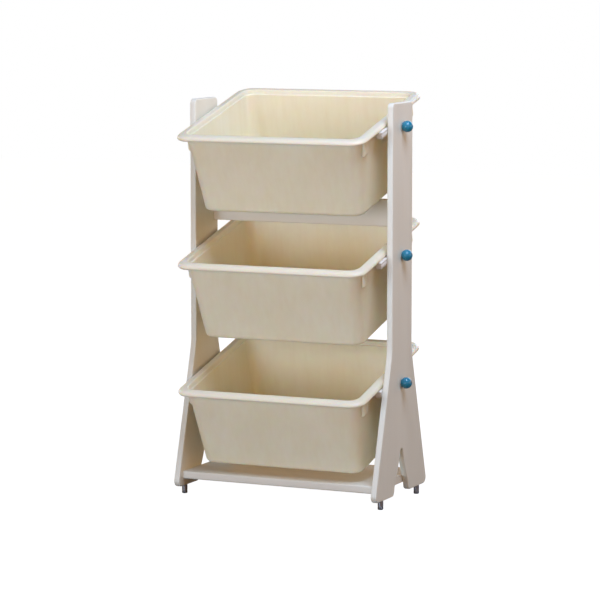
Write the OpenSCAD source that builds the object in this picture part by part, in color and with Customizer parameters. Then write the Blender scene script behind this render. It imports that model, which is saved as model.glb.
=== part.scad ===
// Three-tier toy rack: two A-shaped board sides, a base shelf and a cross rail
// carry three tilting pairs of rails, and a rimmed bin rides on each pair.
// Millimetres. X across, Y from front to back, Z up, floor at Z = 0.

/* [Side panels] */
// Thickness of the side panels
panel_t = 12; // [10:0.5:18]
// Height of the panel tops above the top pivot bolt
panel_head = 46.4; // [30:0.1:80]
// Depth of the panels above the knee
panel_d = 100; // [80:1:140]
// Height of the knee where the legs start to spread
knee_z = 298; // [240:1:360]
// Radius that rounds the knee
knee_r = 110; // [60:1:160]
// Depth over the spread legs at the floor end
leg_spread = 264; // [220:1:320]
// Height of the arch cut between the legs
arch_top = 105; // [80:1:140]
// Width of the arch at its foot
arch_w = 76; // [60:1:90]
// Radius that bows the sides of the arch
arch_r = 150; // [100:5:250]
// Radius that eases the arch near its foot
arch_foot_r = 45; // [30:1:60]
// Radius of the upper corners
top_r = 10; // [4:1:20]
// Radius of the foot corners
foot_r = 12; // [4:1:20]

/* [Glides] */
// Diameter of the steel glides
glide_dia = 11; // [8:0.5:11.5]
// Free height of the glides under the panels
glide_h = 17.5; // [10:0.5:25]
// Distance of the glides in front of and behind the middle
glide_y = 92; // [80:1:110]
// Diameter of the stem that sits in the panel
stem_dia = 5; // [4:0.5:6]
// Depth of the stem in the panel
stem_l = 22; // [15:1:30]

/* [Boards] */
// Thickness of the base shelf and of the cross rail
board_t = 15; // [12:0.5:18]
// Depth of the base shelf
shelf_d = 222; // [180:1:240]
// Height of the shelf's top face
shelf_top = 47.7; // [40:0.1:70]
// Height of the cross rail board
cross_h = 54; // [40:1:70]
// Distance of the cross rail's front face behind the middle
cross_y = 31; // [20:1:34]

/* [Tiers] */
// Forward tilt of the rails and bins at rest, degrees
tilt = 15; // [0:0.5:18]
// Clear height between the base shelf and the bottom bin
shelf_gap = 18.2; // [10:0.1:40]
// Clear height between the cross rail and the bin below it
tier_gap = 16.3; // [10:0.1:60]
// Clear height between the cross rail and a level bin above it
cross_gap = 3.6; // [2:0.1:20]

/* [Rails] */
// Length of a rail
rail_l = 154; // [120:1:200]
// Height of a rail's bar
rail_h = 14.4; // [12:0.1:16]
// Width of a rail
rail_w = 12.2; // [10:0.1:12.4]
// Depth of the groove along a rail's outer face
groove_in = 1.4; // [0.5:0.1:2]
// Diameter of the boss that takes the pivot bolt
boss_dia = 17; // [14:0.5:20]
// Clearance between a rail and its panel
rail_gap = 0.3; // [0.2:0.1:1]
// Clearance between a rail's top and the lip of the rim
lip_gap = 0.2; // [0.1:0.1:1]

/* [Pivot bolts and knobs] */
// Thread diameter of the clamp bolts
bolt_dia = 6; // [5:1:6]
// Diameter of the threaded inserts
insert_dia = 9; // [8:0.5:9]
// Length of the threaded inserts
insert_l = 9.7; // [8:0.1:11]
// Diameter of the ball knobs
knob_dia = 22.4; // [18:0.1:28]
// Distance of a knob's centre from the panel
knob_out = 9.2; // [8:0.1:11]

/* [Bins] */
// Width of a bin over its rim
bin_w = 401.4; // [360:0.1:440]
// Depth of a bin over its rim
bin_d = 327.4; // [300:0.1:350]
// Height of a bin's rim crest above the pivot
rim_h = 21.3; // [20:0.1:23]
// Depth of a bin's underside below the pivot
bin_h = 142; // [120:1:160]
// Corner radius of a bin's rim
rim_r = 30; // [27:1:40]
// Wall thickness of a bin near its floor
bin_wall = 2.5; // [2:0.1:4]
// Floor thickness of a bin
bin_floor = 2.8; // [2:0.1:4]
// Gap between a bin's rim and each side panel
side_gap = 4.8; // [3:0.1:10]
// Length of the ribs under the rim
rib_l = 18; // [10:1:30]
// Height of the ribs below the lip's underside
rib_h = 33.5; // [20:0.1:45]
// Distance of the ribs from the front and back of the rim
rib_end = 48.7; // [40:0.1:80]
// Segments in each rounded bin corner
corner_n = 8; // [4:1:10]

/* [Fittings] */
// Diameter of the wooden dowels
dowel_dia = 8; // [6:1:8]
// Length of the wooden dowels
dowel_l = 28; // [24:1:35]
// Diameter of the cam locks
cam_dia = 15; // [12:1:15]
// Distance of a cam lock's centre from the panel
cam_in = 26; // [24:1:34]
// Distance from a shelf dowel to its cam bolt
cam_step = 20; // [16:1:30]
// Stand of a cam lock's end face out of its board
cam_proud = 0.15; // [0:0.05:0.5]
// Clearance of fittings, stems and inserts in their bores
fit = 0.02; // [0.02:0.01:0.1]

/* [Hidden] */
$fn = 48;
e = 0.01;
dowel_r = dowel_dia / 2;
cam_r = cam_dia / 2;

// Bin section from the underside, up the outer wall, over the rim and down the
// inner wall: [inset from the rim's outer edge, height over the pivot, how much
// smaller the corner radius is than the rim's]. The lip's underside is 10.3
// below the crest.
draft = 12.5;
wall_top = 17.4;
wall_low = wall_top + draft;
in_top = wall_top + bin_wall + 1.8;
in_low = wall_low + bin_wall;
lip_z = rim_h - 10.3;
low = -bin_h;
bin_path = [
    [wall_low + 6.6, low, 12], [wall_low + 3.1, low + 1.4, 10],
    [wall_low + 0.8, low + 4.6, 8.5], [wall_low, low + 8.8, 8],
    [wall_top, rim_h - 13.3, 9], [16.6, rim_h - 7.5, 9.5],
    [15.2, rim_h - 4.5, 9.5], [13.0, rim_h - 3.5, 8.5],
    [10.4, rim_h - 3.5, 7.2], [8.0, rim_h - 4.1, 5.8],
    [6.1, rim_h - 5.3, 4.6], [4.8, rim_h - 7.0, 3.7], [3.9, rim_h - 9.3, 2.9],
    [2.7, lip_z, 2.0], [1.4, lip_z + 0.3, 1.0], [0.4, rim_h - 8.9, 0.3],
    [0, rim_h - 7.3, 0], [0.3, rim_h - 5.8, 0.2], [1.2, rim_h - 4.1, 0.8],
    [2.8, rim_h - 2.5, 1.9], [4.9, rim_h - 1.3, 3.3], [7.4, rim_h - 0.6, 5.0],
    [10.4, rim_h - 0.2, 6.8], [13.4, rim_h - 0.03, 8.6], [15.6, rim_h, 9.5],
    [17.0, rim_h - 0.5, 10], [17.9, rim_h - 1.7, 10.2],
    [18.6, rim_h - 3.9, 10.4], [19.3, rim_h - 7.8, 10.6],
    [19.9, rim_h - 8.9, 10.8],
    [in_top - 0.8, rim_h - 9.3, 11], [in_top - 0.2, rim_h - 10, 11.2],
    [in_top, rim_h - 11.3, 11.2], [in_low, low + bin_floor + 13.2, 11],
    [in_low + 0.9, low + bin_floor + 6.8, 11.5],
    [in_low + 3.2, low + bin_floor + 2.6, 12.5],
    [in_low + 6.8, low + bin_floor + 0.6, 14],
    [in_low + 11.1, low + bin_floor, 16]];

// Reach of a tilted bin in front of, behind and below its pivot. The reach in
// depth puts the object's middle on the origin, and the reach down sets the
// lowest pivot over the shelf.
reach_front = min([for (p = bin_path)
    -(bin_d / 2 - p[0]) * cos(tilt) - p[1] * sin(tilt)]);
reach_back = max([for (p = bin_path)
    (bin_d / 2 - p[0]) * cos(tilt) - p[1] * sin(tilt)]);
reach_down = max([for (p = bin_path)
    (bin_d / 2 - p[0]) * sin(tilt) - p[1] * cos(tilt)]);
mid_y = -(reach_front + reach_back) / 2;

// Pivot heights: the bin's depth, the cross rail and the clear heights round it
// set the distance between tiers.
crest_rise = rim_h / cos(tilt) + (cross_y + board_t) * tan(tilt);
pitch = bin_h + cross_gap + cross_h + tier_gap + crest_rise;
low_pivot = shelf_top + shelf_gap + reach_down;
tiers = [low_pivot + 2 * pitch, low_pivot + pitch, low_pivot];
panel_top = tiers[0] + panel_head;
cross_z = tiers[0] - bin_h - cross_gap - cross_h;

inner_x = bin_w / 2 + side_gap;
mid_x = inner_x + panel_t / 2;
rack_w = 2 * (inner_x + panel_t);
shelf_z = shelf_top - board_t / 2;
cross_mid = cross_z + cross_h / 2;
rail_top = lip_z - lip_gap;
rail_x = inner_x - rail_gap - rail_w;
bar_low = rail_top - rail_h;

// ---- outlines -------------------------------------------------------------

function unit(v) = v / norm(v);

// Points of the arc that rounds corner q between p and n with radius q[2].
function round_corner(p, q, n, k) =
    let (c = [q[0], q[1]],
         a = unit([p[0], p[1]] - c), b = unit([n[0], n[1]] - c),
         half = acos(max(-1, min(1, a * b))) / 2,
         m = c + unit(a + b) * q[2] / sin(half),
         s = c + a * q[2] / tan(half) - m, t = c + b * q[2] / tan(half) - m,
         s0 = atan2(s[1], s[0]), d = atan2(t[1], t[0]) - s0,
         turn = d > 180 ? d - 360 : d < -180 ? d + 360 : d)
    [for (i = [0 : k]) m + q[2] * [cos(s0 + turn * i / k), sin(s0 + turn * i / k)]];

function round_outline(v, k = 8) =
    [for (i = [0 : len(v) - 1]) each round_corner(
        v[(i + len(v) - 1) % len(v)], v[i], v[(i + 1) % len(v)], k)];

// Side panel seen from the side: straight above the knee, spread legs below,
// with a narrow pointed arch between them.
module panel_outline() {
    top_y = panel_d / 2;
    leg_y = leg_spread / 2;
    arch_y = arch_w / 2;
    arch_h = arch_top - glide_h;
    polygon(round_outline([
        [-top_y, panel_top, top_r], [-top_y, knee_z, knee_r],
        [-leg_y, glide_h, foot_r], [-arch_y, glide_h, 10],
        [-0.87 * arch_y, glide_h + 0.234 * arch_h, arch_foot_r],
        [-0.46 * arch_y, glide_h + 0.554 * arch_h, arch_r],
        [0, glide_h + 1.189 * arch_h, 7],
        [0.46 * arch_y, glide_h + 0.554 * arch_h, arch_r],
        [0.87 * arch_y, glide_h + 0.234 * arch_h, arch_foot_r],
        [arch_y, glide_h, 10], [leg_y, glide_h, foot_r],
        [top_y, knee_z, knee_r], [top_y, panel_top, top_r]]));
}

// Puts children at the middle of the object's depth, on the left (-1) or right.
module side(s) translate([0, mid_y, 0]) mirror([s < 0 ? 1 : 0, 0, 0]) children();

// Frame of a tier: origin on the pivot axis, Y up the slope, Z square to it.
module tier(z) translate([0, 0, z]) rotate([tilt, 0, 0]) children();

// Cylinder along +X from x0 to x1.
module along_x(x0, x1, r) translate([x0, 0, 0]) rotate([0, 90, 0])
    cylinder(h = x1 - x0, r = r);

// ---- joints between boards ------------------------------------------------

// Places of the dowels and of the cam fittings on a panel's inner face.
shelf_dowel_y = glide_y - 14;
shelf_cam_y = shelf_dowel_y - cam_step;
shelf_dowels_at = [[-shelf_dowel_y, shelf_z], [shelf_dowel_y, shelf_z]];
shelf_cams_at = [[-shelf_cam_y, shelf_z], [shelf_cam_y, shelf_z]];
cross_dowels_at = [[cross_y + board_t / 2, cross_mid - cross_h / 3],
                   [cross_y + board_t / 2, cross_mid + cross_h / 3]];
cross_cams_at = [[cross_y + board_t / 2, cross_mid]];

module at_places(places, r, x0, x1)
    for (p = places) translate([0, p[0], p[1]]) along_x(x0, x1, r);

// Wooden dowels: chamfered pins, a short end in the panel and the rest in the
// board.
dowel_in = 8;
module dowel_pins(places)
    for (s = [-1, 1]) side(s) for (p = places)
        translate([inner_x + dowel_in - dowel_l, p[0], p[1]]) rotate([0, 90, 0])
            rotate_extrude() polygon([[0, 0], [dowel_r - 1, 0], [dowel_r, 1],
                [dowel_r, dowel_l - 1], [dowel_r - 1, dowel_l], [0, dowel_l]]);

// Cam bolt: threaded stem in the panel, slim neck, and a head inside the cam.
bolt_in = 9;
module cam_bolts(places)
    for (s = [-1, 1]) side(s) for (p = places)
        translate([inner_x - cam_in - 1, p[0], p[1]]) rotate([0, 90, 0])
            rotate_extrude() let (l = cam_in + 1 + bolt_in)
                polygon([[0, 0], [2.6, 0], [3.2, 0.8], [3.2, 3],
                    [1.8, 4.2], [1.8, 7], [2.9, 8.5], [2.9, l - 0.8],
                    [2.2, l], [0, l]]);

// Cam lock: short drum with a slot that hooks the cam bolt's head.
cam_h = 11.5;
module cam_drum() difference() {
    cylinder(h = cam_h, r = cam_r - 0.1);
    translate([-1.6, -4, -e]) cube([cam_r + 2, 8, 9.4]);
    translate([0, 0, cam_h - 1.2]) for (a = [0, 90]) rotate([0, 0, a])
        translate([-4.5, -0.6, 0]) cube([9, 1.2, 2]);
}

// ---- frame ----------------------------------------------------------------

module side_panel(s) color([0.80, 0.78, 0.75]) side(s) difference() {
    translate([inner_x, 0, 0]) rotate([90, 0, 90])
        linear_extrude(panel_t) panel_outline();
    for (z = tiers) translate([0, 0, z])
        along_x(inner_x - 1, inner_x + panel_t + 1, bolt_dia / 2 + 0.1);
    at_places(concat(shelf_dowels_at, cross_dowels_at), dowel_r + fit,
              inner_x - 1, inner_x + dowel_in + 0.3);
    at_places(concat(shelf_cams_at, cross_cams_at), 2.91 + fit,
              inner_x - 1, inner_x + bolt_in + 0.2);
    for (y = [-glide_y, glide_y]) translate([mid_x, y, glide_h - 1])
        cylinder(h = stem_l + 1.2, r = stem_dia / 2 + fit);
}
module side_panel_left() side_panel(-1);
module side_panel_right() side_panel(1);

// Bores in a board's end for its dowels and cam bolts.
module board_bores(dowels, cams) {
    at_places(dowels, dowel_r + fit, inner_x + dowel_in - dowel_l - 0.3,
              inner_x + 1);
    at_places(cams, 3.4, inner_x - cam_in - 8, inner_x + 1);
}

module base_shelf() color([0.82, 0.78, 0.73]) difference() {
    translate([-inner_x, mid_y - shelf_d / 2, shelf_top - board_t])
        cube([2 * inner_x, shelf_d, board_t]);
    for (s = [-1, 1]) side(s) {
        board_bores(shelf_dowels_at, shelf_cams_at);
        for (p = shelf_cams_at)
            translate([inner_x - cam_in, p[0], shelf_top - board_t - 1])
                cylinder(h = cam_h + 1.5, r = cam_r);
    }
}

module cross_rail() color([0.76, 0.69, 0.60]) difference() {
    translate([-inner_x, mid_y + cross_y, cross_z])
        cube([2 * inner_x, board_t, cross_h]);
    for (s = [-1, 1]) side(s) {
        board_bores(cross_dowels_at, cross_cams_at);
        for (p = cross_cams_at)
            translate([inner_x - cam_in, cross_y + board_t + 1, p[1]])
                rotate([90, 0, 0]) cylinder(h = cam_h + 1.5, r = cam_r);
    }
}

module shelf_dowels() color([0.83, 0.70, 0.50]) dowel_pins(shelf_dowels_at);
module shelf_cam_bolts() color([0.72, 0.72, 0.74]) cam_bolts(shelf_cams_at);
module shelf_cam_locks() color([0.62, 0.63, 0.65]) for (s = [-1, 1]) side(s)
    for (p = shelf_cams_at)
        translate([inner_x - cam_in, p[0], shelf_top - board_t + cam_h - cam_proud])
            mirror([0, 0, 1]) cam_drum();
module cross_rail_dowels() color([0.83, 0.70, 0.50]) dowel_pins(cross_dowels_at);
module cross_rail_cam_bolts() color([0.72, 0.72, 0.74]) cam_bolts(cross_cams_at);
module cross_rail_cam_locks() color([0.62, 0.63, 0.65]) for (s = [-1, 1]) side(s)
    for (p = cross_cams_at)
        translate([inner_x - cam_in, cross_y + board_t - cam_h + cam_proud, p[1]])
            rotate([-90, 0, 0]) cam_drum();

// Steel glide: turned foot with a stem pressed up into the panel.
module glide(x, y) color([0.42, 0.42, 0.43]) translate([x, y + mid_y, 0])
    rotate_extrude() polygon([[0, 0], [glide_dia / 2 - 1, 0],
        [glide_dia / 2, 1], [glide_dia / 2, glide_h - fit],
        [stem_dia / 2, glide_h - fit], [stem_dia / 2, glide_h + stem_l - 1],
        [stem_dia / 2 - 0.7, glide_h + stem_l], [0, glide_h + stem_l]]);
module foot_front_left() glide(-mid_x, -glide_y);
module foot_front_right() glide(mid_x, -glide_y);
module foot_back_left() glide(-mid_x, glide_y);
module foot_back_right() glide(mid_x, glide_y);

// ---- rails, inserts, bolts and knobs --------------------------------------

insert_x = inner_x - rail_gap - insert_l;
bolt_x = insert_x + 1;

// Rail: bar with a flat top and a rounded underside, rounded off at both ends,
// grooved along its outer face, and a boss round the pivot bolt.
module rail(s, z) color([0.84, 0.83, 0.80]) side(s) tier(z) difference() {
    union() {
        intersection() {
            translate([rail_x, -rail_l / 2, 0]) rotate([-90, 0, 0])
                linear_extrude(rail_l) polygon(round_outline([
                    [0, -rail_top, 1.2], [rail_w, -rail_top, 1.2],
                    [rail_w, -bar_low, 5.6], [0, -bar_low, 4]], 5));
            translate([rail_x - 1, 0, 0]) rotate([90, 0, 90])
                linear_extrude(rail_w + 2) polygon(round_outline([
                    [-rail_l / 2, rail_top + 1, 0.4], [-rail_l / 2, bar_low, 7],
                    [rail_l / 2, bar_low, 7], [rail_l / 2, rail_top + 1, 0.4]], 5));
        }
        along_x(rail_x, rail_x + rail_w, boss_dia / 2);
    }
    along_x(insert_x - 0.3, inner_x + 1, insert_dia / 2 + fit);
    translate([rail_x + rail_w - groove_in, -rail_l, rail_top - 4.6])
        cube([groove_in + 1, 2 * rail_l, 1.6]);
}
module rail_top_left() rail(-1, tiers[0]);
module rail_top_right() rail(1, tiers[0]);
module rail_middle_left() rail(-1, tiers[1]);
module rail_middle_right() rail(1, tiers[1]);
module rail_bottom_left() rail(-1, tiers[2]);
module rail_bottom_right() rail(1, tiers[2]);

// Threaded insert: brass bush with a flange edge, flush in the rail's boss.
module insert(s, z) color([0.78, 0.64, 0.33]) side(s) tier(z)
    difference() {
        along_x(insert_x, insert_x + insert_l, insert_dia / 2);
        along_x(insert_x - 1, inner_x + 1, bolt_dia / 2 + 0.06);
        for (k = [1 : 3])
            translate([insert_x + k * insert_l / 4, 0, 0]) rotate([0, 90, 0]) difference() {
                cylinder(h = 1, r = insert_dia);
                translate([0, 0, -1]) cylinder(h = 3, r = insert_dia / 2 - 0.4);
            }
    }
module insert_top_left() insert(-1, tiers[0]);
module insert_top_right() insert(1, tiers[0]);
module insert_middle_left() insert(-1, tiers[1]);
module insert_middle_right() insert(1, tiers[1]);
module insert_bottom_left() insert(-1, tiers[2]);
module insert_bottom_right() insert(1, tiers[2]);

// Clamp bolt: plain stud from the knob through the panel into the insert.
module bolt(s, z) color([0.66, 0.66, 0.68]) side(s) translate([bolt_x, 0, z])
    rotate([0, 90, 0]) rotate_extrude()
        let (l = inner_x + panel_t + knob_out - bolt_x)
            polygon([[0, 0], [bolt_dia / 2 - 0.8, 0], [bolt_dia / 2, 0.8],
                [bolt_dia / 2, l - 0.6], [bolt_dia / 2 - 0.6, l], [0, l]]);
module bolt_top_left() bolt(-1, tiers[0]);
module bolt_top_right() bolt(1, tiers[0]);
module bolt_middle_left() bolt(-1, tiers[1]);
module bolt_middle_right() bolt(1, tiers[1]);
module bolt_bottom_left() bolt(-1, tiers[2]);
module bolt_bottom_right() bolt(1, tiers[2]);

// Ball knob: turned ball with a flat that seats on the panel, a blind hole for
// the bolt and a small dimple at the outer pole.
module knob(s, z) {
    r = knob_dia / 2;
    flat = knob_out - 0.3;
    a0 = -asin(flat / r);
    dish = 2.6;
    a1 = acos(dish / r);
    color([0.13, 0.50, 0.68]) side(s)
        translate([rack_w / 2 + knob_out, 0, z]) rotate([0, 90, 0])
            difference() {
                rotate_extrude($fn = 64) polygon(concat([[0, -flat]],
                    [for (i = [0 : 20]) let (a = a0 + (a1 - a0) * i / 20)
                        r * [cos(a), sin(a)]],
                    [[dish - 0.7, r * sin(a1) - 0.9], [0, r * sin(a1) - 1.1]]));
                translate([0, 0, -flat - 1])
                    cylinder(h = flat + 1.1, r = bolt_dia / 2 + fit);
            }
}
module knob_top_left() knob(-1, tiers[0]);
module knob_top_right() knob(1, tiers[0]);
module knob_middle_left() knob(-1, tiers[1]);
module knob_middle_right() knob(1, tiers[1]);
module knob_bottom_left() knob(-1, tiers[2]);
module knob_bottom_right() knob(1, tiers[2]);

// ---- bins -----------------------------------------------------------------

// One level of the bin: a rectangle with rounded corners, run anticlockwise.
function bin_ring(p) =
    let (r = rim_r - p[2], hx = bin_w / 2 - p[0] - r, hy = bin_d / 2 - p[0] - r)
    [for (q = [0 : 3], i = [0 : corner_n])
        let (a = 90 * (q + i / corner_n))
        [(q == 0 || q == 3 ? hx : -hx) + r * cos(a),
         (q < 2 ? hy : -hy) + r * sin(a), p[1]]];

// Skin through all levels, closed by the underside and by the floor.
module bin_shell() {
    n = 4 * (corner_n + 1);
    levels = len(bin_path);
    polyhedron(
        points = [for (p = bin_path) each bin_ring(p)],
        faces = concat(
            [[for (j = [0 : n - 1]) j]],
            [for (i = [0 : levels - 2], j = [0 : n - 1], t = [0, 1])
                let (a = i * n + j, b = i * n + (j + 1) % n)
                t == 0 ? [a, a + n, b + n] : [a, b + n, b]],
            [[for (j = [n - 1 : -1 : 0]) (levels - 1) * n + j]]),
        convexity = 6);
}

// Tapered rib under the rim that keeps the bin between its rails.
module bin_rib() rotate([90, 0, 0]) linear_extrude(rib_l, center = true)
    let (foot = lip_z - rib_h)
        polygon([[0.6, rim_h - 4.3], [6.6, rim_h - 6.7], [6.4, foot + 6.5],
            [5.2, foot + 2.5], [-2.4, foot]]);

module bin(z) color([0.86, 0.84, 0.76]) translate([0, mid_y, 0]) tier(z)
    union() {
        bin_shell();
        for (sx = [0, 1], sy = [-1, 1]) mirror([sx, 0, 0])
            translate([bin_w / 2 - wall_top - 1.4, sy * (bin_d / 2 - rib_end), 0])
                bin_rib();
    }
module bin_top() bin(tiers[0]);
module bin_middle() bin(tiers[1]);
module bin_bottom() bin(tiers[2]);

side_panel_left();
side_panel_right();
base_shelf();
cross_rail();
shelf_dowels();
shelf_cam_bolts();
shelf_cam_locks();
cross_rail_dowels();
cross_rail_cam_bolts();
cross_rail_cam_locks();
foot_front_left();
foot_front_right();
foot_back_left();
foot_back_right();
rail_top_left();
rail_top_right();
rail_middle_left();
rail_middle_right();
rail_bottom_left();
rail_bottom_right();
insert_top_left();
insert_top_right();
insert_middle_left();
insert_middle_right();
insert_bottom_left();
insert_bottom_right();
bolt_top_left();
bolt_top_right();
bolt_middle_left();
bolt_middle_right();
bolt_bottom_left();
bolt_bottom_right();
knob_top_left();
knob_top_right();
knob_middle_left();
knob_middle_right();
knob_bottom_left();
knob_bottom_right();
bin_top();
bin_middle();
bin_bottom();
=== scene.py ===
"""A three-tier toy rack: two A-shaped painted board sides, a base shelf and a
cross rail, three pairs of tilting rails, and a rimmed ivory bin on each pair.
Metres, in the CAD frame: X across, Y from front to back, Z up."""

import math

import bmesh
import bpy
import numpy as np
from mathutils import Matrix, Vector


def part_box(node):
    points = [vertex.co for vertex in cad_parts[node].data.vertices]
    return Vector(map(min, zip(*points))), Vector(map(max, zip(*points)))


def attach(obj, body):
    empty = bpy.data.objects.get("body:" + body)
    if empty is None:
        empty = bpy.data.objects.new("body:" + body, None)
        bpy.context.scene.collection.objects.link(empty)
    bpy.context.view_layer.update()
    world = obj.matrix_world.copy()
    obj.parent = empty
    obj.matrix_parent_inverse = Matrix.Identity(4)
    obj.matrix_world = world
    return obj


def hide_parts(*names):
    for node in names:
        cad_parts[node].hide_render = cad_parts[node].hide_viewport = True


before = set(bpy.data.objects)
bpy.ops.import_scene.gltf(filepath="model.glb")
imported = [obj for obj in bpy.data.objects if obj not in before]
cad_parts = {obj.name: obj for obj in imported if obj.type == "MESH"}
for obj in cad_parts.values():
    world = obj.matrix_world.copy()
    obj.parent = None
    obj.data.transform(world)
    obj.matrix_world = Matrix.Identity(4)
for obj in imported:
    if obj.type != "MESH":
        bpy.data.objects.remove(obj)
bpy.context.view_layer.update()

# ---- camera ---------------------------------------------------------------
# A long lens looks slightly down at the rack from the front right, as in the
# photograph. Angles, distance and shift come from a fit to its edges.
LOOK_DOWN, LOOK_LEFT = 0.10919, 0.42612
camera = bpy.data.objects.new("camera", bpy.data.cameras.new("camera"))
bpy.context.scene.collection.objects.link(camera)
camera.location = (2.32229, -5.11934, 1.06342)
camera.rotation_euler = (math.pi / 2 - LOOK_DOWN, 0, LOOK_LEFT)
camera.data.sensor_width = 36
camera.data.lens = 171.76
camera.data.shift_y = -0.05
camera.data.clip_end = 60
bpy.context.scene.camera = camera

# ---- studio ---------------------------------------------------------------
# A plain floor, cool soft boxes above, low in front, at both sides and behind,
# and a warm glow all round near the horizon, so that open faces are neutral and
# sheltered ones warm. To the camera, room and floor are white.
STUDIO_WHITE = (1.0, 1.0, 1.0, 1)
COOL_LIGHT = (0.76, 1.02, 1.36)
TOP_LIGHT = (0.80, 0.98, 1.36)
FRONT_LIGHT = (0.76, 1.07, 1.46)
COLD_LIGHT = (0.62, 1.10, 1.55)
WARM_RING = (1.08, 0.48, 0.05)
HIGH_ROOM = (0.03, 0.035, 0.04)
RING_FADE = (0.25, 0.45)
FLOOR_HALF = 8.0
FLOOR_GREY = (0.20, 0.20, 0.20)
FLOOR_LIFT = 0.985
RACK_MIDDLE = (0, 0, 0.5)


def shader_tree(material):
    """The node tree of a new material with its Principled BSDF."""
    material.use_nodes = True
    tree = material.node_tree
    return tree, tree.nodes["Principled BSDF"]


def studio_floor():
    """A flat square round the rack at floor level: matt grey to the lamps, and
    lifted almost to white for the camera, so that it still takes a shadow."""
    corners = [(x * FLOOR_HALF, y * FLOOR_HALF, 0)
               for x, y in ((-1, -1), (1, -1), (1, 1), (-1, 1))]
    mesh = bpy.data.meshes.new("floor")
    mesh.from_pydata(corners, [], [(0, 1, 2, 3)])
    floor = bpy.data.objects.new("floor", mesh)
    bpy.context.scene.collection.objects.link(floor)
    paint = bpy.data.materials.new("floor_paint")
    tree, bsdf = shader_tree(paint)
    bsdf.inputs["Base Color"].default_value = (*FLOOR_GREY, 1)
    bsdf.inputs["Roughness"].default_value = 0.9
    bsdf.inputs["Specular IOR Level"].default_value = 0.1
    bsdf.inputs["Emission Color"].default_value = STUDIO_WHITE
    ray = tree.nodes.new("ShaderNodeLightPath")
    glow = tree.nodes.new("ShaderNodeMath")
    glow.operation = "MULTIPLY"
    glow.inputs[1].default_value = FLOOR_LIFT
    tree.links.new(ray.outputs["Is Camera Ray"], glow.inputs[0])
    tree.links.new(glow.outputs[0], bsdf.inputs["Emission Strength"])
    mesh.materials.append(paint)


def soft_box(name, place, size, watts, colour):
    """A square lamp at place, turned towards the rack's middle."""
    lamp = bpy.data.lights.new(name, "AREA")
    lamp.shape = "SQUARE"
    lamp.size = size
    lamp.energy = watts
    lamp.color = colour
    box = bpy.data.objects.new(name, lamp)
    bpy.context.scene.collection.objects.link(box)
    way = np.subtract(RACK_MIDDLE, place)
    box.location = place
    box.rotation_euler = (math.atan2(math.hypot(way[0], way[1]), -way[2]), 0,
                          math.atan2(-way[0], way[1]))


def ringed_room():
    """A world whose light is warm below the fade heights and dim above them,
    by the height of the ray's direction; the camera sees plain white."""
    room = bpy.data.worlds.new("room")
    bpy.context.scene.world = room
    room.use_nodes = True
    nodes, link = room.node_tree.nodes, room.node_tree.links.new
    place = nodes.new("ShaderNodeTexCoord")
    parts = nodes.new("ShaderNodeSeparateXYZ")
    fade = nodes.new("ShaderNodeMapRange")
    fade.interpolation_type = "SMOOTHSTEP"
    fade.inputs["From Min"].default_value = RING_FADE[0]
    fade.inputs["From Max"].default_value = RING_FADE[1]
    light, shown = nodes.new("ShaderNodeMix"), nodes.new("ShaderNodeMix")
    light.data_type = shown.data_type = "RGBA"
    light.inputs[6].default_value = (*WARM_RING, 1)
    light.inputs[7].default_value = (*HIGH_ROOM, 1)
    shown.inputs[7].default_value = STUDIO_WHITE
    ray = nodes.new("ShaderNodeLightPath")
    link(place.outputs["Generated"], parts.inputs[0])
    link(parts.outputs["Z"], fade.inputs["Value"])
    link(fade.outputs["Result"], light.inputs["Factor"])
    link(light.outputs[2], shown.inputs[6])
    link(ray.outputs["Is Camera Ray"], shown.inputs["Factor"])
    link(shown.outputs[2], nodes["Background"].inputs["Color"])


studio_floor()
soft_box("overhead_box", (0.85, -0.75, 2.4), 1.2, 37, TOP_LIGHT)
soft_box("low_box", (-0.5, -2.6, 0.42), 1.0, 23, FRONT_LIGHT)
soft_box("right_box", (3.0, 0.7, 1.1), 1.6, 10, COLD_LIGHT)
soft_box("left_box", (-3.0, 0.9, 1.1), 1.6, 13, COLD_LIGHT)
soft_box("back_box", (0.2, 2.8, 1.5), 1.6, 22, COOL_LIGHT)
ringed_room()
bpy.context.scene.view_settings.view_transform = "Standard"

# ---- glides ---------------------------------------------------------------
# Four turned steel feet, dark zinc plated, whose stems are pressed up into the
# legs. Only the foot below the panel shows.


def shell(loops):
    """Points and faces of a closed skin: point j of loop i joins points j and
    j + 1 of loops i and i + 1, and a flat face closes each end."""
    loops = np.asarray(loops, float)
    n, m = loops.shape[:2]
    i, j = np.meshgrid(np.arange(n - 1), np.arange(m), indexing="ij")
    k = (j + 1) % m
    quads = np.stack([i * m + j, i * m + k, (i + 1) * m + k, (i + 1) * m + j], -1)
    faces = quads.reshape(-1, 4).tolist()
    faces += [list(range(m))[::-1], list(range((n - 1) * m, n * m))]
    return loops.reshape(-1, 3), faces


def turned(profile, centre, axis, count=64):
    """Skin of a turned piece: each (radius, height) of the profile becomes a
    circle round the axis (0, 1 or 2) at that height over the centre."""
    profile = np.asarray(profile, float)
    angle = np.linspace(0, 2 * math.pi, count, endpoint=False)
    ring = np.zeros((len(profile), count, 3))
    ring[..., (axis + 1) % 3] = profile[:, :1] * np.cos(angle)
    ring[..., (axis + 2) % 3] = profile[:, :1] * np.sin(angle)
    ring[..., axis] = profile[:, 1:]
    return shell(ring + np.asarray(centre))


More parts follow.
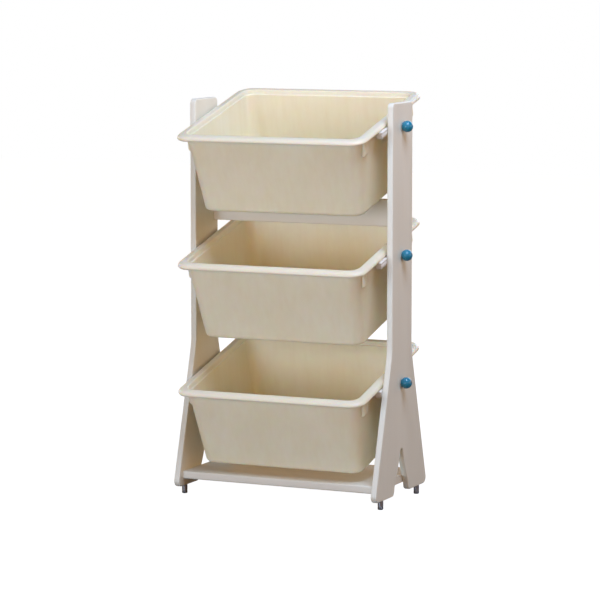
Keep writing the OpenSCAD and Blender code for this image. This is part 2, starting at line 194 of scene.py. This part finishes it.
def add_piece(name, shells, body, material, node, sharp=35):
    """One object from closed skins, faces outwards, smooth but for edges over
    sharp degrees. It rides on its body and stands for a CAD node."""
    points, faces, start = [], [], 0
    for some_points, some_faces in shells:
        points.append(some_points)
        faces += [[corner + start for corner in face] for face in some_faces]
        start += len(some_points)
    mesh = bpy.data.meshes.new(name)
    mesh.from_pydata(np.concatenate(points).tolist(), [], faces)
    work = bmesh.new()
    work.from_mesh(mesh)
    bmesh.ops.recalc_face_normals(work, faces=work.faces)
    work.to_mesh(mesh)
    work.free()
    mesh.shade_smooth()
    mesh.set_sharp_from_angle(angle=math.radians(sharp))
    mesh.materials.append(material)
    piece = bpy.data.objects.new(name, mesh)
    bpy.context.scene.collection.objects.link(piece)
    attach(piece, body)
    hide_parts(node)
    return piece


def group_of(name, inputs, outputs):
    """An empty shader node group with named sockets, each given as
    (name, socket type, default)."""
    group = bpy.data.node_groups.new(name, "ShaderNodeTree")
    for way, sockets in (("INPUT", inputs), ("OUTPUT", outputs)):
        for label, kind, *default in sockets:
            socket = group.interface.new_socket(label, in_out=way, socket_type=kind)
            if default:
                socket.default_value = default[0]
    return (group, group.nodes.new("NodeGroupInput"),
            group.nodes.new("NodeGroupOutput"))


def stretched_noise_group():
    """Cloud noise in object space, stretched by a scale along each axis: the
    value runs from 0 to 1 round 0.5."""
    group, given, result = group_of(
        "stretched_noise",
        [("Scale", "NodeSocketVector", (100, 100, 100)),
         ("Detail", "NodeSocketFloat", 3.0), ("Warp", "NodeSocketFloat", 0.0)],
        [("Value", "NodeSocketFloat")])
    place = group.nodes.new("ShaderNodeTexCoord")
    scaled = group.nodes.new("ShaderNodeVectorMath")
    scaled.operation = "MULTIPLY"
    noise = group.nodes.new("ShaderNodeTexNoise")
    noise.inputs["Scale"].default_value = 1.0
    link = group.links.new
    link(place.outputs["Object"], scaled.inputs[0])
    link(given.outputs["Scale"], scaled.inputs[1])
    link(scaled.outputs[0], noise.inputs["Vector"])
    link(given.outputs["Detail"], noise.inputs["Detail"])
    link(given.outputs["Warp"], noise.inputs["Distortion"])
    link(noise.outputs[0], result.inputs["Value"])
    return group


NOISE = stretched_noise_group()


def noise_node(tree, scale, detail=3.0, warp=0.0):
    """The stretched noise in a material, with its own scale."""
    node = tree.nodes.new("ShaderNodeGroup")
    node.node_tree = NOISE
    node.inputs["Scale"].default_value = scale
    node.inputs["Detail"].default_value = detail
    node.inputs["Warp"].default_value = warp
    return node.outputs["Value"]


def ranged(tree, value, low, high, start=0.3, end=0.7):
    """value, from start to end, mapped to low to high."""
    node = tree.nodes.new("ShaderNodeMapRange")
    for label, number in (("From Min", start), ("From Max", end),
                          ("To Min", low), ("To Max", high)):
        node.inputs[label].default_value = number
    tree.links.new(value, node.inputs["Value"])
    return node.outputs["Result"]


def blended(tree, factor, first, second):
    """Colour between first and second by the factor."""
    node = tree.nodes.new("ShaderNodeMix")
    node.data_type = "RGBA"
    tree.links.new(factor, node.inputs["Factor"])
    for number, value in ((6, first), (7, second)):
        if isinstance(value, tuple):
            node.inputs[number].default_value = (*value, 1)
        else:
            tree.links.new(value, node.inputs[number])
    return node.outputs[2]


def bumped(tree, height, strength, depth, bsdf):
    """Bump from a height on the shader's normal."""
    node = tree.nodes.new("ShaderNodeBump")
    node.inputs["Strength"].default_value = strength
    node.inputs["Distance"].default_value = depth
    tree.links.new(height, node.inputs["Height"])
    tree.links.new(node.outputs["Normal"], bsdf.inputs["Normal"])


def metal(name, light, dark, rough, grain):
    """Plated or turned metal: fine tool lines of the given noise scale change
    its colour and gloss a little."""
    material = bpy.data.materials.new(name)
    tree, bsdf = shader_tree(material)
    lines = noise_node(tree, grain, 4)
    bsdf.inputs["Metallic"].default_value = 1.0
    tree.links.new(blended(tree, ranged(tree, lines, 0, 1), dark, light),
                   bsdf.inputs["Base Color"])
    tree.links.new(ranged(tree, lines, rough * 0.8, rough * 1.25),
                   bsdf.inputs["Roughness"])
    bumped(tree, lines, 0.15, 0.0001, bsdf)
    return material


def glide_profile(radius, neck):
    """Half section (radius, height): a rounded sole, a fine groove above it and
    a small chamfer at the neck, just under the panel."""
    cut = np.array([[0.0016, 0], [0.0008, 0.0003], [0.0002, 0.0009], [0, 0.0016],
                    [0, 0.0052], [0.0004, 0.0056], [0.0004, 0.0064], [0, 0.0068],
                    [0, neck - 0.0006], [0.0006, neck]])
    return np.column_stack([radius - cut[:, 0], cut[:, 1]])


PANEL_GAP = 0.00003
glide_steel = metal("glide_steel", (0.46, 0.46, 0.47), (0.30, 0.30, 0.31), 0.32,
                    (300, 300, 4000))
for place in ("front_left", "front_right", "back_left", "back_right"):
    low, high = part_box("foot_" + place)
    profile = glide_profile((high.x - low.x) / 2,
                            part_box("side_panel_left")[0].z - PANEL_GAP)
    centre = ((low.x + high.x) / 2, (low.y + high.y) / 2, low.z)
    add_piece("glide_" + place, [turned(profile, centre, 2, 48)], "frame",
              glide_steel, "foot_" + place)

# ---- side panels ----------------------------------------------------------
# Two 12 mm boards with a straight upper part, spread legs and a pointed arch
# between them. Edges are rounded over by 2 mm and all is painted off-white.


def rounded_outline(corners, count=10):
    """Closed outline in a plane: each corner (a, b, radius) becomes an arc that
    touches both its sides."""
    corners = np.asarray(corners, float)
    here = corners[:, :2]
    to_last = np.roll(here, 1, 0) - here
    to_next = np.roll(here, -1, 0) - here
    to_last /= np.linalg.norm(to_last, axis=1)[:, None]
    to_next /= np.linalg.norm(to_next, axis=1)[:, None]
    half = np.arccos(np.clip((to_last * to_next).sum(1), -1, 1)) / 2
    radius = corners[:, 2]
    bisector = to_last + to_next
    bisector /= np.linalg.norm(bisector, axis=1)[:, None]
    middle = here + bisector * (radius / np.sin(half))[:, None]
    reach = (radius / np.tan(half))[:, None]
    first, last = here + to_last * reach - middle, here + to_next * reach - middle
    start = np.arctan2(first[:, 1], first[:, 0])
    turn = np.arctan2(last[:, 1], last[:, 0]) - start
    turn = (turn + math.pi) % (2 * math.pi) - math.pi
    angle = start[:, None] + turn[:, None] * np.linspace(0, 1, count)
    arc = np.stack([np.cos(angle), np.sin(angle)], -1) * radius[:, None, None]
    return (middle[:, None] + arc).reshape(-1, 2)


def inset_outline(outline, amount):
    """The outline moved inwards by an amount along each point's own normal."""
    along = np.roll(outline, -1, 0) - np.roll(outline, 1, 0)
    along /= np.linalg.norm(along, axis=1)[:, None]
    area = np.sum(outline[:, 0] * np.roll(outline[:, 1], -1)
                  - np.roll(outline[:, 0], -1) * outline[:, 1])
    inwards = np.stack([-along[:, 1], along[:, 0]], -1) * np.sign(area)
    return outline + inwards * amount


def plate_loops(outline, low, high, radius, steps=5, flat=0.0008):
    """Loops of a plate between low and high with both edges rounded over: each
    is the outline, inset by a quarter circle's depth at its height. One more
    loop on either face, inset by flat too, keeps the shading of the face even."""
    angle = np.linspace(0, math.pi / 2, steps)
    depth = np.concatenate([[radius + flat], radius * (1 - np.sin(angle))])
    height = np.concatenate([[0], radius * (1 - np.cos(angle))])
    depth = np.concatenate([depth, depth[::-1]])
    height = np.concatenate([low + height, high - height[::-1]])
    return [(inset_outline(outline, d), h) for d, h in zip(depth, height)]


def painted_board(name, grain, bare):
    """Off-white paint on board: the wood's grain shows as a faint, stretched
    shade, the brushed paint has fine ridges along it, and gloss varies."""
    material = bpy.data.materials.new(name)
    tree, bsdf = shader_tree(material)
    wide = noise_node(tree, tuple(9 * g for g in grain), 3, 0.4)
    fine = noise_node(tree, tuple(70 * g for g in grain), 4)
    shade = tuple(c * f for c, f in zip(bare, (0.955, 0.945, 0.93)))
    pale = tuple(min(1, c * 1.02) for c in bare)
    both = tree.nodes.new("ShaderNodeMath")
    both.operation = "MULTIPLY_ADD"
    both.inputs[1].default_value = 0.35
    tree.links.new(fine, both.inputs[0])
    tree.links.new(wide, both.inputs[2])
    tree.links.new(blended(tree, ranged(tree, both.outputs[0], 0, 1, 0.5, 0.85),
                           shade, pale), bsdf.inputs["Base Color"])
    tree.links.new(ranged(tree, fine, 0.42, 0.56), bsdf.inputs["Roughness"])
    bsdf.inputs["Specular IOR Level"].default_value = 0.4
    bumped(tree, fine, 0.12, 0.0002, bsdf)
    return material


upright_paint = painted_board("upright_paint", (1, 1, 0.06), (0.83, 0.82, 0.70))
MIDDLE = sum((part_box("side_panel_left")[k].y for k in (0, 1))) / 2
PANEL_LOW, PANEL_TOP = (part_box("side_panel_left")[k].z for k in (0, 1))
KNEE = 0.298
ARCH_HEIGHT = 0.105 - PANEL_LOW
half_outline = [
    (0.050, PANEL_TOP, 0.010), (0.050, KNEE, 0.110), (0.132, PANEL_LOW, 0.012),
    (0.038, PANEL_LOW, 0.010), (0.03306, PANEL_LOW + 0.234 * ARCH_HEIGHT, 0.045),
    (0.01748, PANEL_LOW + 0.554 * ARCH_HEIGHT, 0.150)]
arch_point = (0, PANEL_LOW + 1.189 * ARCH_HEIGHT, 0.007)
outline = rounded_outline([(-y, z, radius) for y, z, radius in half_outline]
                          + [arch_point] + half_outline[::-1])
PANEL_ROUND = 0.0020
for side in ("left", "right"):
    low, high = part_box("side_panel_" + side)
    loops = [np.column_stack([np.full(len(edge), x), edge[:, 0] + MIDDLE,
                              edge[:, 1]])
             for edge, x in plate_loops(outline, low.x, high.x, PANEL_ROUND)]
    add_piece("panel_" + side, [shell(loops)], "frame", upright_paint,
              "side_panel_" + side)

# ---- base shelf and cross rail --------------------------------------------
# Two 15 mm boards between the panels, with their long edges rounded over by
# 2.5 mm and painted like the sides, in copies of the paint with painted shade:
# the shelf a little darker for the shade under the bottom bin, the cross rail
# warmer for the warm bounced light under the top bin. Dowels and cam fittings
# hold their ends.
BOARD_ROUND = 0.0025
# Copies of the side paint with painted shade: the shelf a little darker, the cross
# rail warmer, for the light under the bins.
shaded_crosswise_paints = {
    "base_shelf": painted_board("shelf_shaded_paint", (0.06, 1, 1), (0.82, 0.79, 0.67)),
    "cross_rail": painted_board("cross_rail_warm_shade_paint", (0.06, 1, 1), (0.86, 0.78, 0.65))}
for node, paint in shaded_crosswise_paints.items():
    low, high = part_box(node)
    section = rounded_outline([(low.y, low.z, BOARD_ROUND),
                               (high.y, low.z, BOARD_ROUND),
                               (high.y, high.z, BOARD_ROUND),
                               (low.y, high.z, BOARD_ROUND)], 6)
    loops = [np.column_stack([np.full(len(section), x), section])
             for x in (low.x, high.x)]
    add_piece(node + "_board", [shell(loops)], "frame", paint, node)

# ---- dowels and cam fittings ----------------------------------------------
# Beech dowels, zinc-plated cam bolts and die-cast cam drums, which are hidden
# in the boards but for the drums' flush ends.
dowel_beech = bpy.data.materials.new("dowel_beech")
tree, bsdf = shader_tree(dowel_beech)
tree.links.new(blended(tree, ranged(tree, noise_node(tree, (60, 1500, 1500)), 0, 1),
                       (0.70, 0.55, 0.36), (0.82, 0.69, 0.50)),
               bsdf.inputs["Base Color"])
bsdf.inputs["Roughness"].default_value = 0.65
bright_steel = metal("bright_steel", (0.78, 0.78, 0.80), (0.62, 0.62, 0.65), 0.30,
                     (3000, 600, 600))
cast_zinc = metal("cast_zinc", (0.66, 0.67, 0.69), (0.54, 0.55, 0.57), 0.45,
                  (900, 900, 900))
turned_brass = metal("turned_brass", (0.84, 0.68, 0.36), (0.72, 0.56, 0.26), 0.30,
                     (3000, 500, 500))


def finish_nodes(material, *nodes):
    """Gives CAD nodes that keep their own shape their finish."""
    for name in nodes:
        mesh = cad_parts[name].data
        mesh.materials.clear()
        mesh.materials.append(material)


finish_nodes(dowel_beech, "shelf_dowels", "cross_rail_dowels")
finish_nodes(bright_steel, "shelf_cam_bolts", "cross_rail_cam_bolts")
finish_nodes(cast_zinc, "shelf_cam_locks", "cross_rail_cam_locks")

# ---- rails, inserts and clamp bolts ---------------------------------------
# Each rail is a moulded bar, grooved along its outer face, with a boss for the
# brass insert that its clamp bolt screws into from outside the panel.
TIERS = ("top", "middle", "bottom")
SIDES = (("left", -1), ("right", 1))
TILT = math.radians(15)
RAIL_LENGTH, RAIL_TOP, RAIL_LOW = 0.154, 0.0108, -0.0036
BOSS_RADIUS, BORE_RADIUS, BORE_DEPTH = 0.0085, 0.00455, 0.0099
BOSS_CHAMFER = 0.0007


def moulded(name, light, shade, rough, streak, coat=0.0, glow=0.0, rim=None):
    """Moulded plastic: two near shades in soft clouds, a faint streak, a fine
    satin skin and some light carried under the surface. A rim colour, if given,
    is painted light: it takes over where the mesh's "rim" is 1, a tone of its
    own for how light falls on the rim of the same plastic."""
    material = bpy.data.materials.new(name)
    tree, bsdf = shader_tree(material)
    clouds = noise_node(tree, (7, 7, 7), 2)
    streaks = noise_node(tree, streak, 3)
    skin = noise_node(tree, (1600, 1600, 1600), 2)
    both = tree.nodes.new("ShaderNodeMath")
    both.operation = "MULTIPLY_ADD"
    both.inputs[1].default_value = 0.5
    tree.links.new(streaks, both.inputs[0])
    tree.links.new(clouds, both.inputs[2])
    colour = blended(tree, ranged(tree, both.outputs[0], 0, 1, 0.55, 0.95), shade,
                     light)
    if rim:
        mark = tree.nodes.new("ShaderNodeAttribute")
        mark.attribute_name = "rim"
        colour = blended(tree, mark.outputs["Fac"], colour, rim)
    tree.links.new(colour, bsdf.inputs["Base Color"])
    tree.links.new(ranged(tree, skin, rough * 0.9, rough * 1.15),
                   bsdf.inputs["Roughness"])
    bsdf.inputs["Coat Weight"].default_value = coat
    bsdf.inputs["Coat Roughness"].default_value = 0.12
    bsdf.inputs["Subsurface Weight"].default_value = glow
    bsdf.inputs["Subsurface Radius"].default_value = (1.0, 0.5, 0.2)
    bsdf.inputs["Subsurface Scale"].default_value = 0.008
    bumped(tree, skin, 0.06, 0.0001, bsdf)
    return material


def tilted(points, height):
    """Points given in a tier's own frame, turned by the tilt about the pivot
    and lifted to its height."""
    points = np.asarray(points, float)
    y, z = points[..., 1].copy(), points[..., 2].copy()
    points = points.copy()
    points[..., 1] = y * math.cos(TILT) - z * math.sin(TILT) + MIDDLE
    points[..., 2] = y * math.sin(TILT) + z * math.cos(TILT) + height
    return points


def tier_height(tier):
    """Height of a tier's pivot: the middle of its knobs."""
    low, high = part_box(f"knob_{tier}_left")
    return (low.z + high.z) / 2


def rail_loops(x_in, x_out, long, top, low):
    """Loops along a rail: its section, whose underside rises at both ends on a
    quarter circle. A point lower than that circle is lifted onto it."""
    groove = x_out - 0.0014
    section = rounded_outline([
        (x_in, top, 0.0012), (x_out, top, 0.0009), (x_out, top - 0.0030, 0.0006),
        (groove, top - 0.0031, 0.0003), (groove, top - 0.0045, 0.0003),
        (x_out, top - 0.0046, 0.0006), (x_out, low, 0.0056),
        (x_in, low, 0.0040)], 7)
    radius = 0.007
    turn = np.linspace(math.pi / 2, 0, 9)
    reach = np.concatenate([-long / 2 + radius - radius * np.sin(turn),
                            long / 2 - radius + radius * np.sin(turn[::-1])])
    floor = low + radius - radius * np.cos(np.concatenate([turn, turn[::-1]]))
    loops = np.zeros((len(reach), len(section), 3))
    loops[..., 0] = section[:, 0]
    loops[..., 1] = reach[:, None]
    loops[..., 2] = np.maximum(section[:, 1], floor[:, None])
    return loops


rail_plastic = moulded("rail_plastic", (0.86, 0.83, 0.75), (0.82, 0.79, 0.71), 0.42,
                       (60, 4, 60))
finish_nodes(turned_brass, *[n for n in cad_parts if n.startswith("insert_")])
finish_nodes(bright_steel, *[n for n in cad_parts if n.startswith("bolt_")])
for tier in TIERS:
    for side, sign in SIDES:
        low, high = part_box(f"rail_{tier}_{side}")
        x_in, x_out = sorted((abs(low.x), abs(high.x)))
        bar = shell(rail_loops(x_in, x_out, RAIL_LENGTH, RAIL_TOP, RAIL_LOW))
        boss = turned([(BOSS_RADIUS - BOSS_CHAMFER, x_in),
                       (BOSS_RADIUS, x_in + BOSS_CHAMFER),
                       (BOSS_RADIUS, x_out - BOSS_CHAMFER),
                       (BOSS_RADIUS - BOSS_CHAMFER, x_out),
                       (BORE_RADIUS, x_out), (BORE_RADIUS, x_out - BORE_DEPTH)],
                      (0, 0, 0), 0)
        shells = [(tilted(points, tier_height(tier)) * (sign, 1, 1), faces)
                  for points, faces in (bar, boss)]
        add_piece(f"{tier}_{side}_bar", shells, f"{tier}_{side}_rail",
                  rail_plastic, f"rail_{tier}_{side}")

# ---- knobs ----------------------------------------------------------------
# Six turned balls, lacquered bright blue, each with a flat that seats on the
# panel and a small dimple at its outer pole.
KNOB_X, KNOB_FLAT, KNOB_DISH = 0.2267, 0.0089, 0.0026
knob_lacquer = moulded("knob_lacquer", (0.012, 0.24, 0.36), (0.008, 0.20, 0.32),
                       0.34, (40, 40, 40), coat=0.35)


def knob_profile(radius, flat, dish):
    """Half section (radius, height): from the flat over the ball to the edge
    of the dimple, then down its cone to a rounded bottom."""
    angle = np.linspace(-math.asin(flat / radius), math.acos(dish / radius), 40)
    ball = np.stack([radius * np.cos(angle), radius * np.sin(angle)], -1)
    rim = ball[-1, 1]
    flat_edge = [(ball[0, 0] * 0.5, -flat), (ball[0, 0] * 0.96, -flat)]
    dimple = [(dish * 0.93, rim - 0.0001), (dish * 0.6, rim - 0.0009),
              (dish * 0.25, rim - 0.0012), (dish * 0.05, rim - 0.0012)]
    return np.concatenate([flat_edge, ball, dimple])


for tier in TIERS:
    for side, sign in SIDES:
        low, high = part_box(f"knob_{tier}_{side}")
        profile = knob_profile((high.z - low.z) / 2, KNOB_FLAT, KNOB_DISH)
        middle = (sign * KNOB_X, (low.y + high.y) / 2, tier_height(tier))
        points, faces = turned(profile, (0, 0, 0), 0)
        add_piece(f"{tier}_{side}_ball", [(points * (sign, 1, 1) + middle, faces)],
                  f"{tier}_{side}_clamp", knob_lacquer,
                  f"knob_{tier}_{side}")

# ---- bins -----------------------------------------------------------------
# Three moulded ivory bins with tapered walls, a broad rolled rim that hooks
# over the rails, an inner ledge, and ribs under the rim beside the rails.
BIN_HALF_WIDTH, BIN_HALF_DEPTH = 0.2007, 0.1637
SKIN_GAP = 0.00008
RIB_MIDDLE_X, RIB_Y = 0.182, 0.115
# Bounds of the rim's painted light tone: the ledge's inset where it ends, the width
# it fades over, and the height it stays above.
LEDGE_INSET, PAINTED_RIM_FADE, PAINTED_RIM_FOOT = 0.019, 0.0034, 0.0105

# Levels of the skin in mm: inset from the rim's outline, height over the pivot
# and corner radius. They run from under the bottom up the outer wall, round the
# rim, over the ledge, down the inner wall and onto the inner floor.
BIN_SECTION = np.array([
    [60.0, -142.0, 8.0], [38.0, -142.0, 17.0], [36.5, -142.0, 18.0],
    [34.6, -141.7, 19.2], [33.0, -140.6, 20.0], [31.6, -139.2, 20.8],
    [30.7, -137.4, 21.5], [30.1, -135.4, 21.8], [29.9, -133.2, 22.0],
    [28.9, -122.0, 21.9], [18.4, -3.0, 21.1], [17.4, 8.0, 21.0],
    [16.9, 12.0, 20.6], [16.6, 13.8, 20.5], [16.1, 15.6, 20.4],
    [15.2, 16.8, 20.5], [14.2, 17.5, 20.9], [13.0, 17.8, 21.5],
    [11.7, 17.9, 22.1], [10.4, 17.8, 22.8], [9.2, 17.6, 23.5],
    [8.0, 17.2, 24.2], [7.0, 16.7, 24.8], [6.1, 16.0, 25.4],
    [5.4, 15.2, 25.8], [4.8, 14.3, 26.3], [4.3, 13.2, 26.7],
    [3.9, 12.0, 27.1], [3.5, 11.4, 27.5], [2.7, 11.05, 28.0],
    [2.0, 11.1, 28.5], [1.4, 11.3, 29.0], [0.8, 11.8, 29.4],
    [0.4, 12.4, 29.7], [0.12, 13.2, 29.9], [0.0, 14.0, 30.0],
    [0.08, 14.8, 29.95], [0.3, 15.5, 29.8], [0.68, 16.4, 29.5],
    [1.2, 17.2, 29.2], [1.95, 18.05, 28.7], [2.8, 18.8, 28.1],
    [3.8, 19.45, 27.4], [4.9, 20.0, 26.7], [6.1, 20.4, 25.9],
    [7.4, 20.7, 25.0], [8.8, 20.92, 24.1], [10.4, 21.1, 23.2],
    [11.9, 21.2, 22.3], [13.4, 21.27, 21.4], [14.6, 21.3, 20.9],
    [15.6, 21.3, 20.5], [16.4, 21.15, 20.2],
    [17.0, 20.8, 20.0], [17.5, 20.3, 19.9], [17.9, 19.6, 19.8],
    [18.3, 18.6, 19.7], [18.6, 17.4, 19.6], [19.0, 15.3, 19.5],
    [19.3, 13.5, 19.4], [19.55, 12.75, 19.3], [19.9, 12.4, 19.2],
    [20.4, 12.2, 19.1], [20.9, 12.0, 19.0], [21.3, 11.7, 18.9],
    [21.5, 11.3, 18.8], [21.65, 10.8, 18.8], [21.7, 10.0, 18.8],
    [22.6, -1.5, 18.8], [31.5, -114.5, 19.0], [32.4, -126.0, 19.0],
    [32.8, -129.4, 18.8], [33.3, -132.4, 18.5], [34.3, -134.8, 18.1],
    [35.6, -136.6, 17.5], [37.3, -137.8, 16.8], [39.2, -138.6, 16.0],
    [41.3, -139.0, 15.0], [43.5, -139.2, 14.0], [46.0, -139.2, 13.0],
    [66.0, -139.2, 6.0]])
BIN_SECTION /= 1000
BIN_SECTION[:, :2] = inset_outline(BIN_SECTION[:, :2], SKIN_GAP)


def bin_loops(half_width, half_depth, section, count=14):
    """Loops of a bin: at each level a rectangle, smaller than the rim by the
    level's inset, whose corners are arcs of the level's radius."""
    inset, height, radius = section.T
    angle = np.linspace(0, math.pi / 2, count)
    angle = (np.arange(4)[:, None] * math.pi / 2 + angle).ravel()
    side_x = np.repeat([1, -1, -1, 1], count)
    side_y = np.repeat([1, 1, -1, -1], count)
    reach_x = (half_width - inset - radius)[:, None]
    reach_y = (half_depth - inset - radius)[:, None]
    loops = np.zeros((len(section), len(angle), 3))
    loops[..., 0] = side_x * reach_x + radius[:, None] * np.cos(angle)
    loops[..., 1] = side_y * reach_y + radius[:, None] * np.sin(angle)
    loops[..., 2] = height[:, None]
    return loops


def rib_loops(sign_x, sign_y):
    """Loops of a rib under the rim: its tapered outline, repeated along Y with
    both ends drawn in a little."""
    outline = rounded_outline([(0.1825, 0.0170, 0.0005), (0.1885, 0.0146, 0.0005),
                               (0.1883, -0.0160, 0.0020), (0.1871, -0.0200, 0.0012),
                               (0.1795, -0.0225, 0.0005)], 6)
    loops = []
    for along, size in ((-0.009, 0.9), (-0.0086, 1), (0.0086, 1), (0.009, 0.9)):
        x = RIB_MIDDLE_X + (outline[:, 0] - RIB_MIDDLE_X) * size
        loops.append(np.column_stack([
            sign_x * x, np.full(len(x), sign_y * RIB_Y + along), outline[:, 1]]))
    return np.array(loops)


def mark_rim_painted_light(piece, section, ring):
    """Stores "rim", the mask of the rim's painted light tone, on a bin's
    vertices: 1 on the roll of the rim, fading to 0 at the ledge. The bin's skin
    comes first, level by level, ring points each."""
    inset, height = section[:, 0], section[:, 1]
    share = np.clip((LEDGE_INSET - inset) / PAINTED_RIM_FADE, 0, 1) * (height > PAINTED_RIM_FOOT)
    values = np.zeros(len(piece.data.vertices))
    values[:len(section) * ring] = np.repeat(share, ring)
    mark = piece.data.attributes.new("rim", "FLOAT", "POINT")
    mark.data.foreach_set("value", values)


# The rim colour is painted light: the rim is the same plastic as the walls, and its
# own tone stands for how light falls on the roll.
bin_ivory = moulded("bin_ivory", (0.93, 0.87, 0.67), (0.88, 0.805, 0.58), 0.34,
                    (90, 90, 3), glow=0.3, rim=(0.90, 0.81, 0.615))
for tier in TIERS:
    skins = [bin_loops(BIN_HALF_WIDTH, BIN_HALF_DEPTH, BIN_SECTION)]
    skins += [rib_loops(x, y) for x in (-1, 1) for y in (-1, 1)]
    tub = add_piece(f"{tier}_tub",
                    [shell(tilted(skin, tier_height(tier))) for skin in skins],
                    f"{tier}_bin", bin_ivory, f"bin_{tier}", 60)
    mark_rim_painted_light(tub, BIN_SECTION, skins[0].shape[1])
